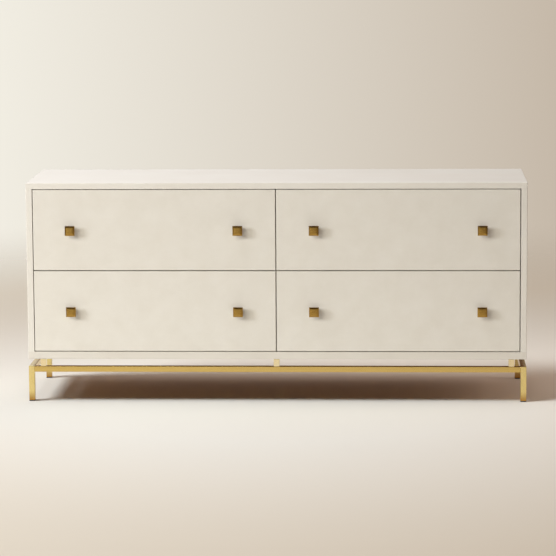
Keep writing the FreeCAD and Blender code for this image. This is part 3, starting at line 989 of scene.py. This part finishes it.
shell = bmesh.new()
bmesh.ops.create_circle(shell, cap_ends=True, segments=96, radius=floor_radius)
mesh = bpy.data.meshes.new("pale_floor")
shell.to_mesh(mesh)
shell.free()
mesh.materials.append(soft_floor("matt_pale_floor", "F4F1E7", "EEE1CA"))
floor = bpy.data.objects.new("pale_floor", mesh)
scene.collection.objects.link(floor)
floor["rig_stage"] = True
print("floor of", floor_radius, "m")

# %% [markdown]
# Past the floor the camera sees the backdrop, which is the world itself: pale and warm, brighter to the
# left. What the brass mirrors is the same room with dark flanks and, on the side of the camera, a dark
# ceiling, because brass looks like brass only when it has something dark to mirror. For all other light
# the world is a low warm glow, most of it from behind, as a pale wall there would give. Each part of the
# room comes in over a span of the direction that a ray takes, along one axis.

# %% Backdrop and room
world = bpy.data.worlds.new("studio")
scene.world = world
world.use_nodes = True
sky = world.node_tree
sky.nodes.clear()
direction = add_node(sky, "ShaderNodeTexCoord").outputs["Generated"]
heading = add_node(sky, "ShaderNodeSeparateXYZ", {0: direction}).outputs
aside = add_node(sky, "ShaderNodeMath", {0: heading["X"]}, operation="ABSOLUTE")
spans = {
    "across": (heading["X"], {"From Min": -0.15, "From Max": 0.06}),
    "upward": (heading["Z"], {"From Min": 0.05, "From Max": 0.45}),
    "flanks": (aside, {"From Min": 0.3, "From Max": 0.8}),
    "near_side": (heading["Y"], {"From Min": 0.3, "From Max": 0.8, "To Min": 1.0, "To Max": 0.0}),
    "glow": (heading["Y"], {"From Min": -0.2, "From Max": 0.6, "To Min": 0.052, "To Max": 0.492}),
}
part = {
    name: add_node(sky, "ShaderNodeMapRange", {"Value": value, **span})
    for name, (value, span) in spans.items()
}
backdrop_tones = [(0.0, "F2EEE3"), (1.0, "C5B8A8")]
backdrop = add_node(sky, "ShaderNodeValToRGB", {"Fac": part["across"]}, backdrop_tones)
mirrored_tones = [(0.0, "F2F2F0"), (1.0, "857B6C")]
mirrored = add_node(sky, "ShaderNodeValToRGB", {"Fac": part["across"]}, mirrored_tones)
ceiling = add_node(sky, "ShaderNodeMath", {0: part["upward"], 1: part["near_side"]}, operation="MULTIPLY")
dark = add_node(sky, "ShaderNodeMath", {0: ceiling, 1: part["flanks"]}, operation="MAXIMUM")
room = add_node(sky, "ShaderNodeMixRGB", {"Fac": dark, "Color1": mirrored, "Color2": linear("44352A")})
ray = add_node(sky, "ShaderNodeLightPath").outputs
view = add_node(sky, "ShaderNodeMixRGB", {"Fac": ray["Is Glossy Ray"], "Color1": backdrop, "Color2": room})
seen_rays = {0: ray["Is Camera Ray"], 1: ray["Is Glossy Ray"]}
seen = add_node(sky, "ShaderNodeMath", seen_rays, operation="MAXIMUM")
shown = add_node(sky, "ShaderNodeBackground", {"Color": view, "Strength": 1.0})
ambient = add_node(sky, "ShaderNodeBackground", {"Color": linear("FFE1D4"), "Strength": part["glow"]})
either = add_node(sky, "ShaderNodeMixShader", {0: seen, 1: ambient, 2: shown})
add_node(sky, "ShaderNodeOutputWorld", {"Surface": either})
print("room:", list(spans))

# %% [markdown]
# Plain soft studio light. A broad lamp high on the left, narrowed to a pool, throws the dark soft shadow
# under the case, and a small one above the chest washes the floor in front of it. They would burn out the
# left side and the top, so they reach only the floor and the brass base, and the top has a lamp of its own
# almost straight above. Two more light the case from the front: a key from the left, which gives the knobs
# their short shadows and shades the fronts from left to right, and a wide fill. A low warm kick from the
# right opens the end of the shadow, and a last lamp keeps the back and the right side readable. In a
# studio, flags keep each lamp off what it shouldn't reach, so that the shadow stays deep right up to the
# feet. Here light linking does what the flags do, with one group for the floor and the base and one for
# the rest of the chest. The lamps on the case aren't mirrored in it, so its sheen stays even.

# %% Lamps
ground, case = (bpy.data.collections.new(name) for name in ("ground", "case"))
ground.objects.link(floor)
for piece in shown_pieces():
    lit_with = ground if piece.get("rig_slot") == "satin_brass" else case
    lit_with.objects.link(piece)


def soft_lamp(name, place, aim, size, power, colour, receivers, spread=180):
    """A rectangular soft light at a place, turned to a point, that reaches one group of pieces."""
    lamp = bpy.data.lights.new(name, "AREA")
    lamp.shape = "RECTANGLE"
    lamp.size, lamp.size_y = size
    lamp.energy = power
    lamp.spread = math.radians(spread)
    lamp.color = linear(colour)[:3]
    holder = bpy.data.objects.new(name, lamp)
    holder.location = place
    holder.rotation_euler = (Vector(aim) - Vector(place)).to_track_quat("-Z", "Y").to_euler()
    holder.light_linking.receiver_collection = receivers
    holder.visible_glossy = receivers is not case
    scene.collection.objects.link(holder)


middle = Vector((0, 0, 0.4))
pool = Vector((-1.1, -0.5, 0))
soft_lamp("overhead", (-8.8, -3.5, 10.6), pool, (5.4, 5.0), 268, "F5FAFF", ground, spread=70)
soft_lamp("wash", (-1.2, -0.3, 6.0), (-0.9, -0.95, 0), (0.8, 0.8), 3, "F5FAFF", ground, spread=45)
soft_lamp("top_light", (-2.1, -0.35, 6.0), middle, (2.0, 2.0), 252, "F3F8FF", case)
soft_lamp("key", (-5.7, -3.6, 2.2), middle, (1.7, 1.7), 229, "F0F6FF", case)
soft_lamp("fill", (-3.4, -5.6, 3.4), middle, (4.0, 3.0), 243, "FFFBF0", case)
soft_lamp("kick", (3.2, 0.0, 1.25), (0.9, 0, 0), (1.6, 1.2), 2.7, "FFE1CB", ground, spread=60)
soft_lamp("back_fill", (4.2, 4.8, 1.0), middle, (4.0, 2.5), 165, "FFFFFF", case)

# %% [markdown]
# The camera stands where the picture was taken from: a long lens about nine metres away, a little to the
# right of the middle and at the height of a standing eye, looking slightly down. Its place and turn were
# found by fitting the corners of the chest, so they are plain numbers here.

# %% Camera
camera_place = Vector((0.3992, -8.9752, 1.6147))
turn, tilt, roll = (math.radians(angle) for angle in (-2.568, 7.839, -0.346))
frame_pixels = 556
focal_pixels = 2725
ahead = Vector((math.sin(turn) * math.cos(tilt), math.cos(turn) * math.cos(tilt), -math.sin(tilt)))
right = Vector((math.cos(turn), -math.sin(turn), 0))
up = right.cross(ahead)
level_right = right * math.cos(roll) + up * math.sin(roll)
level_up = up * math.cos(roll) - right * math.sin(roll)
lens = bpy.data.cameras.new("picture_camera")
lens.sensor_width = 36
lens.lens = focal_pixels / frame_pixels * lens.sensor_width
lens.clip_end = 100
camera = bpy.data.objects.new("picture_camera", lens)
camera_turn = Matrix((level_right, level_up, -ahead)).transposed().to_4x4()
camera.matrix_world = Matrix.Translation(camera_place) @ camera_turn
scene.collection.objects.link(camera)
scene.camera = camera
scene.view_settings.view_transform = "Standard"
print("lens", round(lens.lens, 1), "mm")

# %% [markdown]

# %% Finish
print("done")
